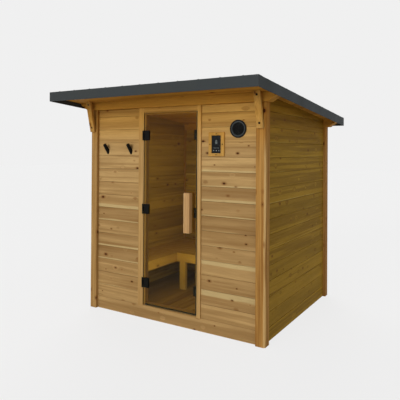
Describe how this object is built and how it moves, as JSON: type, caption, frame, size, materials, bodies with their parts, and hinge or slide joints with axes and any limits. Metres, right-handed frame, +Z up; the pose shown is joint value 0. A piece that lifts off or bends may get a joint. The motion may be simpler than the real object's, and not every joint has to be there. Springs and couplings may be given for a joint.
{
  "type": "outdoor sauna cabin",
  "caption": "Small wooden outdoor sauna cabin: horizontal plank walls, corner posts, mono-pitch roof with dark trim, and a hinged glass door onto L-shaped benches",
  "frame": {"origin": "on the ground under the middle of the roof's plan, at the bottom centre of the bounding box", "axes": "+X to the right of the front, +Y towards the back wall, +Z up; the door is in the front wall, which faces -Y"},
  "size_m": [2.265, 2.379, 2.221],
  "materials": {
    "cedar_planks": "planed softwood planks with knots, unpainted",
    "cedar_joinery": "planed and sanded softwood",
    "bench_wood": "planed and sanded softwood",
    "handle_wood": "sanded hardwood",
    "roof_trim": "matt slate grey coated steel sheet",
    "roof_membrane": "dark grey roofing membrane with a fine grit",
    "black_metal": "matt black powder coat",
    "bronze_glass": "bronze tinted tempered glass",
    "black_panel": "satin black touch panel",
    "black_plastic": "matt black moulded plastic"
  },
  "bodies": {
    "cabin": {"post_front_left": "cedar_planks", "post_front_right": "cedar_planks", "post_back_left": "cedar_planks", "post_back_right": "cedar_planks", "front_bottom_board": "cedar_planks", "front_wall_left": "cedar_planks", "front_wall_right": "cedar_planks", "left_wall": "cedar_planks", "right_wall": "cedar_planks", "back_wall": "cedar_planks", "front_beam": "cedar_planks", "back_beam": "cedar_planks", "knee_brace_left": "cedar_planks", "knee_brace_right": "cedar_planks", "roof_deck": "cedar_planks", "roof_sheet": "roof_membrane", "roof_trim_front": "roof_trim", "roof_trim_back": "roof_trim", "roof_trim_left": "roof_trim", "roof_trim_right": "roof_trim", "door_jamb_left": "cedar_joinery", "door_jamb_right": "cedar_joinery", "door_head": "cedar_joinery", "door_sill": "cedar_joinery", "door_catches": "black_plastic", "hinge_bottom_jamb_leaf": "black_metal", "hinge_middle_jamb_leaf": "black_metal", "hinge_top_jamb_leaf": "black_metal", "coat_peg_left": "black_metal", "coat_peg_right": "black_metal", "control_panel_frame": "cedar_joinery", "control_panel": "black_panel", "round_vent": "black_plastic", "floor_boards": "bench_wood", "floor_battens": "bench_wood", "left_bench": "bench_wood", "back_bench": "bench_wood", "bench_leg": "bench_wood"},
    "door": {"door_glass": "bronze_glass", "door_handle_outside": "handle_wood", "door_handle_inside": "handle_wood", "hinge_back_plates": "black_metal", "hinge_bottom_glass_leaf": "black_metal", "hinge_middle_glass_leaf": "black_metal", "hinge_top_glass_leaf": "black_metal"}
  },
  "joints": [
    {"name": "door_swing", "type": "hinge", "parent": "cabin", "child": "door", "pos_m": [-0.302, -0.7445, 1.074], "axis": [0, 0, -1], "range_deg": [0, 105]}
  ]
}
